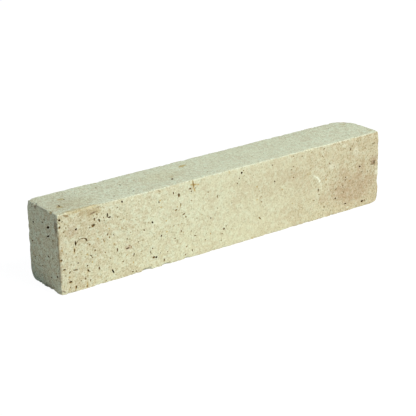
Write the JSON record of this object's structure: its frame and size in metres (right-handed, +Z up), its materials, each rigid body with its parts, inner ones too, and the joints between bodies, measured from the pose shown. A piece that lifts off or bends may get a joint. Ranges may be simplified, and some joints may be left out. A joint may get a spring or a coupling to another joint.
{
  "type": "whetstone",
  "caption": "Rectangular bar of natural porous limestone with sawn flat faces, worn chipped edges and open pits, for honing carving knives and gouges by hand.",
  "frame": {"origin": "centre of the narrow long face that the bar stands on", "axes": "+X along the bar from its open-grained left end, +Y through its thickness from the front face to the back, +Z up from the face it stands on"},
  "size_m": [0.2, 0.0284, 0.0405],
  "materials": {
    "limestone": "sawn and rubbed matt, pale cream to greenish grey, brown in the pits"
  },
  "bodies": {
    "root": {"whetstone_bar": "limestone"}
  },
  "joints": []
}
